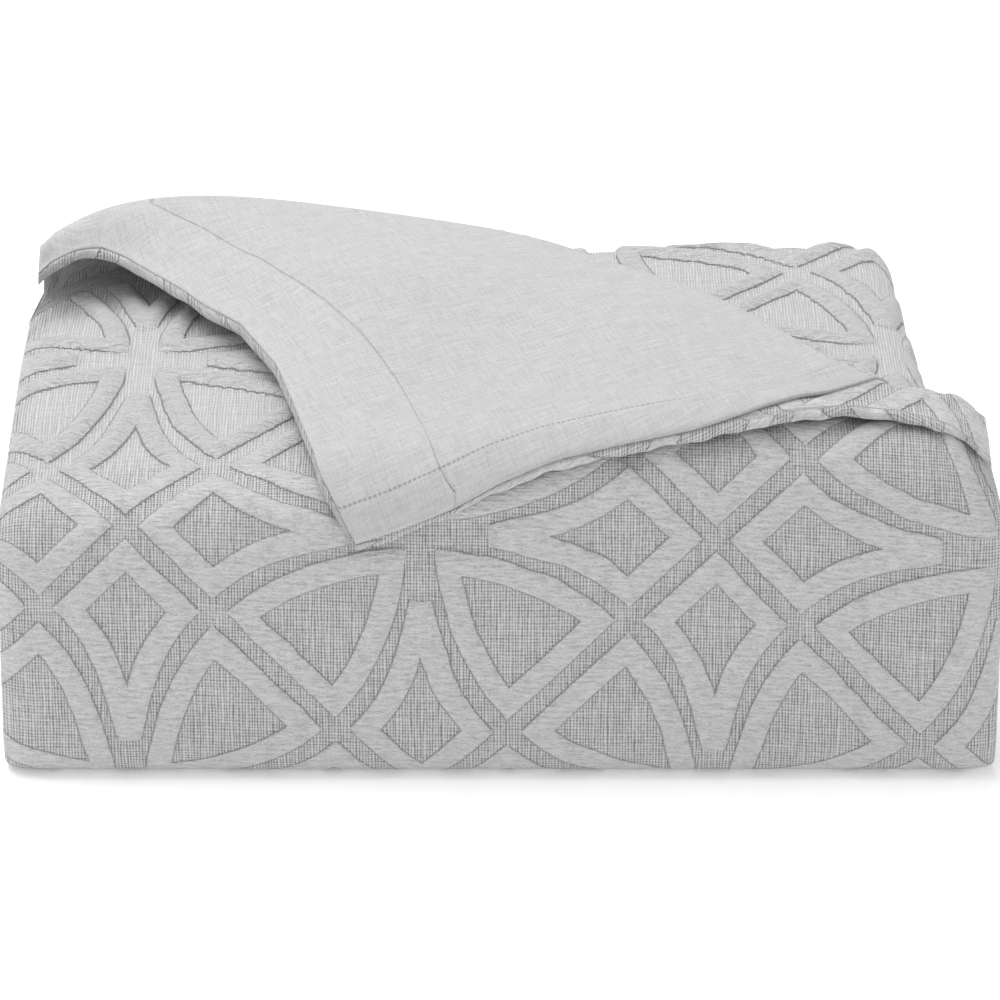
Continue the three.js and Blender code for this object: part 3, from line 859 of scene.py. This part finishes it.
faceLook = {
    "band": (0.69, 0.69, 0.695),
    # bandShade is the painted shade in the sunk crinkles of the bands
    "bandShade": (0.38, 0.38, 0.388),
    "thread": (0.62, 0.62, 0.625),
    "hole": (0.150, 0.150, 0.162),
    "closed": 0.42,           # share by which the dark gaps are painted lighter where the cloth lies slack on top: painted light
    "warp": 1.75,             # millimetres between upright threads
    "weft": 1.9,
    "sway": 3.0,              # millimetres that the drawn lines, their edges and the threads stray
    "fray": 2.6,
    "drift": 2.2,
    "bump": 0.9,
    "sheen": {"weight": 0.35, "rough": 0.45},
}


# Distance to the nearest sunk line, and 1 on the plain strips and squares where lines cross
def drawnLines(tree, u, v):
    pitch, knot = pattern["pitch"], pattern["knot"]
    fray = tree.grain(u, v, "fray") - 0.5
    sway = tree.grain(u, v, "sway") - 0.5
    p = abs(((u + sway * faceLook["sway"]) / pitch + 1.0) % 2.0 - 1.0)
    q = abs(((v + sway * faceLook["sway"]) / pitch + 1.0) % 2.0 - 1.0)
    spread = pattern["spread"] / pitch
    start, over = pattern["spreadOver"]
    nearRow, nearColumn = 1.0 - p.ramp(start, start + over), 1.0 - q.ramp(start, start + over)
    farRow, farColumn = p.ramp(1 - start - over, 1 - start), q.ramp(1 - start - over, 1 - start)
    first = abs(((p - nearColumn * spread - 1.0).square() + (q + farRow * spread).square()).root() - 1.0)
    second = abs(((p + farColumn * spread).square() + (q - nearRow * spread - 1.0).square()).root() - 1.0)
    diagonal = abs(p + q - 1.0) * (1 / math.sqrt(2))
    thin = (nearRow * nearColumn).most(farRow * farColumn) * pattern["thin"]
    line = first.least(second).least(diagonal) * pitch + thin + fray * faceLook["fray"]

    nearP, nearQ = p.least(1.0 - p) * pitch, q.least(1.0 - q) * pitch
    atCrossing = 1.0 - abs((p < 0.5) - (q < 0.5))
    inNeck = (nearP.least(nearQ) < pattern["neckHalf"]) * (nearP.most(nearQ) < pattern["neck"])
    plain = atCrossing * inNeck
    for atP, atQ in ((crossFar, crossNear), (crossNear, crossFar)):
        plain = plain.most(abs(p * pitch - atP).most(abs(q * pitch - atQ)) < knot)
    return line, plain


def faceCloth():
    # Puffed pale bands round an open grey weave, drawn from the same lines as the relief
    tree = Tree("face_cloth")
    u, v = tree.millimetres("cloth")
    line, plain = drawnLines(tree, u, v)
    band = line.ramp(pattern["strip"] - 0.5, pattern["strip"] + 0.6)
    band = band * (1.0 - line.ramp(pattern["band"] - 0.7, pattern["band"] + 0.5)) * (1.0 - plain)

    # Open ground: uneven upright and level threads with dark gaps between them
    driftAcross = (tree.grain(u, v, "driftAcross") - 0.5) * faceLook["drift"]
    driftAlong = (tree.grain(u, v, "driftAlong") - 0.5) * faceLook["drift"]
    upright = (u + driftAcross).threads(faceLook["warp"])
    level = (v + driftAlong).threads(faceLook["weft"])
    gaps = (1.0 - upright) * tree.grain(u, v, "streakAcross") * 1.125
    gaps = gaps + (1.0 - level) * tree.grain(u, v, "streakAlong") * 0.675
    blotch = tree.grain(u, v, "blotch") - 0.5
    slack, _ = tree.pair("slack")
    # Painted light: on the slack top the dark gaps of the ground are painted lighter, so the top shows paler
    darkness = (gaps + blotch * 0.7).ramp(0.0, 1.15) * (1.0 - slack * faceLook["closed"])
    ground = tree.blend(darkness, faceLook["thread"], faceLook["hole"])

    # Bands: tight cloth drawn into fine level crinkles, their sunk parts darkened with painted shade
    crinkle, fine, dents = (tree.grain(u, v, name) for name in ("crinkle", "fine", "dents"))
    # the slack share in this tone is painted light: the bands are painted a little lighter on the slack top
    tone = (crinkle * 0.5 + fine * 0.5 + slack * 0.03).ramp(0.30, 0.60)
    pale = tree.blend(tone, faceLook["bandShade"], faceLook["band"])
    colour = tree.blend(band, ground, pale)
    bandHeight = crinkle * 2.8 + fine * 0.9 + dents * 2.0 + 0.9
    groundHeight = upright * 0.32 + level * 0.26 + dents * 1.2
    height = bandHeight * band * (slack * 0.35 + 1.0) + groundHeight * (1.0 - band)
    normal = tree.bump(height, 0.001, faceLook["bump"])
    return tree.cloth(colour, band * -0.06 + 0.9, normal, faceLook["sheen"])


liningLook = {
    "thread": (0.53, 0.53, 0.532),
    "shade": (0.42, 0.42, 0.425),
    "slub": (0.60, 0.60, 0.60),
    "warp": 1.1,
    "weft": 1.2,
    "stitchLong": 3.0,
    "stitchGap": 0.32,        # share of that length without thread
    "stitchHalf": 0.45,
    "stitchDark": (0.21, 0.21, 0.22),
    "bump": 0.7,
    "sheen": {"weight": 0.1, "rough": 0.5},
}


def linenCloth(name, tint):
    # Plain weave with slubs, a stitched hem and a pressed edge
    tree = Tree(name)
    u, v = tree.millimetres("cloth")
    fromLeft, fromHem = tree.millimetres("edge")
    upright, level = u.threads(liningLook["warp"]), v.threads(liningLook["weft"])
    longSlub, crossSlub = tree.grain(u, v, "longSlub"), tree.grain(u, v, "crossSlub")
    speck = tree.grain(u, v, "speck")
    tone = (longSlub * 0.4 + crossSlub * 0.35 + speck * 0.25).ramp(0.38, 0.60)
    shade, thread = ([c * tint for c in liningLook[key]] for key in ("shade", "thread"))
    base = tree.blend(tone, shade, thread)
    base = tree.blend(longSlub.ramp(0.62, 0.72) * 0.6, base, liningLook["slub"])

    fromStitch, half = abs(fromHem - sheets["hemWide"]), liningLook["stitchHalf"]
    dash = (u / liningLook["stitchLong"]) % 1.0 > liningLook["stitchGap"]
    stitch = (1.0 - fromStitch.ramp(half, half + 0.35)) * dash
    base = tree.blend(stitch * 0.6, base, liningLook["stitchDark"])
    ridge = 1.0 - abs(fromLeft - sheets["ridgeIn"]).ramp(0.2, 2.2)
    pucker = tree.grain(u, v, "pucker") * (1.0 - fromStitch.ramp(1.0, 9.0))
    weave = upright * 0.05 + level * 0.05 + longSlub * 0.35 + crossSlub * 0.3 + speck * 0.2
    height = weave + ridge * 0.4 + pucker * 1.4 - stitch * 0.3
    normal = tree.bump(height, 0.001, liningLook["bump"])
    return tree.cloth(base, speck * 0.1 + 0.85, normal, liningLook["sheen"])


view = {
    "place": (0.0, -2647.9, 1055.1),
    "aim": (0.0, 149.7, 119.0),
    "lens": 178.6,
}
studio = {
    "floorHalf": 6.0,         # metres
    "floorDrop": 0.0004,
    "floorGlow": 0.22,        # keeps the shadow at the front soft and pale
    "world": 0.62,
    "lightAim": (0, 0, 0.1),
    "key": {"place": (-700.0, 300.0, 2300.0), "size": 2.2, "power": 50.0},
    "fill": {"place": (900.0, -2200.0, 1300.0), "size": 2.4, "power": 6.0},
}


def floorPaint():
    tree = Tree("floor_paint")
    place = tree.node("ShaderNodeTexCoord", None, (), 3)
    tone = tree.noise(place, 3.0, 2.0, 0.5) * 0.01
    colour = tree.blend(tone, (0.93, 0.93, 0.93), (0.90, 0.90, 0.90))
    made = tree.cloth(colour, tone + 0.9, tree.bump(tone, 0.0005, 0.1), {"weight": 0.0, "rough": 0.5})
    shader = next(node for node in tree.nodes if node.type == "BSDF_PRINCIPLED")
    shader.inputs["Emission Color"].default_value = (1.0, 1.0, 1.0, 1.0)
    shader.inputs["Emission Strength"].default_value = studio["floorGlow"]
    return made


def toward(place, aim):
    return (aim - place).to_track_quat("-Z", "Y").to_euler()


def setCamera():
    data = bpy.data.cameras.new("camera")
    data.lens = view["lens"]
    data.sensor_width = 36
    data.clip_end = 50
    made = bpy.data.objects.new("camera", data)
    bpy.context.scene.collection.objects.link(made)
    shift = Vector((0, shiftY, 0))
    place, aim = ((Vector(view[key]) + shift) / 1000 for key in ("place", "aim"))
    made.location = place
    made.rotation_euler = toward(place, aim)
    bpy.context.scene.camera = made


def setLight(name, light):
    data = bpy.data.lights.new(name, "AREA")
    data.shape = "SQUARE"
    data.size = light["size"]
    data.energy = light["power"]
    made = bpy.data.objects.new(name, data)
    bpy.context.scene.collection.objects.link(made)
    made.location = Vector(light["place"]) / 1000
    made.rotation_euler = toward(made.location, Vector(studio["lightAim"]))


def setStudio():
    scene = bpy.context.scene
    scene.view_settings.view_transform = "Standard"
    world = bpy.data.worlds.new("studio")
    scene.world = world
    world.use_nodes = True
    background = world.node_tree.nodes["Background"]
    background.inputs["Color"].default_value = (1.0, 1.0, 1.0, 1.0)
    background.inputs["Strength"].default_value = studio["world"]
    setLight("key_light", studio["key"])
    setLight("fill_light", studio["fill"])
    mesh = bpy.data.meshes.new("floor")
    half = studio["floorHalf"]
    corners = [(-half, -half, 0), (half, -half, 0), (half, half, 0), (-half, half, 0)]
    mesh.from_pydata(corners, [], [(0, 1, 2, 3)])
    mesh.materials.append(floorPaint())
    ground = bpy.data.objects.new("floor", mesh)
    ground.location.z = -studio["floorDrop"]
    scene.collection.objects.link(ground)


setCamera()
setStudio()
print("camera and studio are set")

duvet = makeDuvetBody(faceCloth())
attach(duvet, "root")
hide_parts("duvet_body")


def leftOfSeam(i, k):
    if stations[i] < flapSize["facingFrom"]:
        return True
    return stations[i] < flapSize["facingTo"] and k < flapSize["facingSteps"]


def isLining(i, k):
    return not leftOfSeam(i, k) and stations[i + 1] <= flapSize["liningTo"]


lining = makeSheet("turned_back_lining", isLining, linenCloth("lining_cloth", 1.0))
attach(lining, "root")
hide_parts("lining_panel")

facing = makeSheet("edge_facing", leftOfSeam, linenCloth("facing_cloth", 1.02))
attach(facing, "root")
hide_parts("facing_strip")
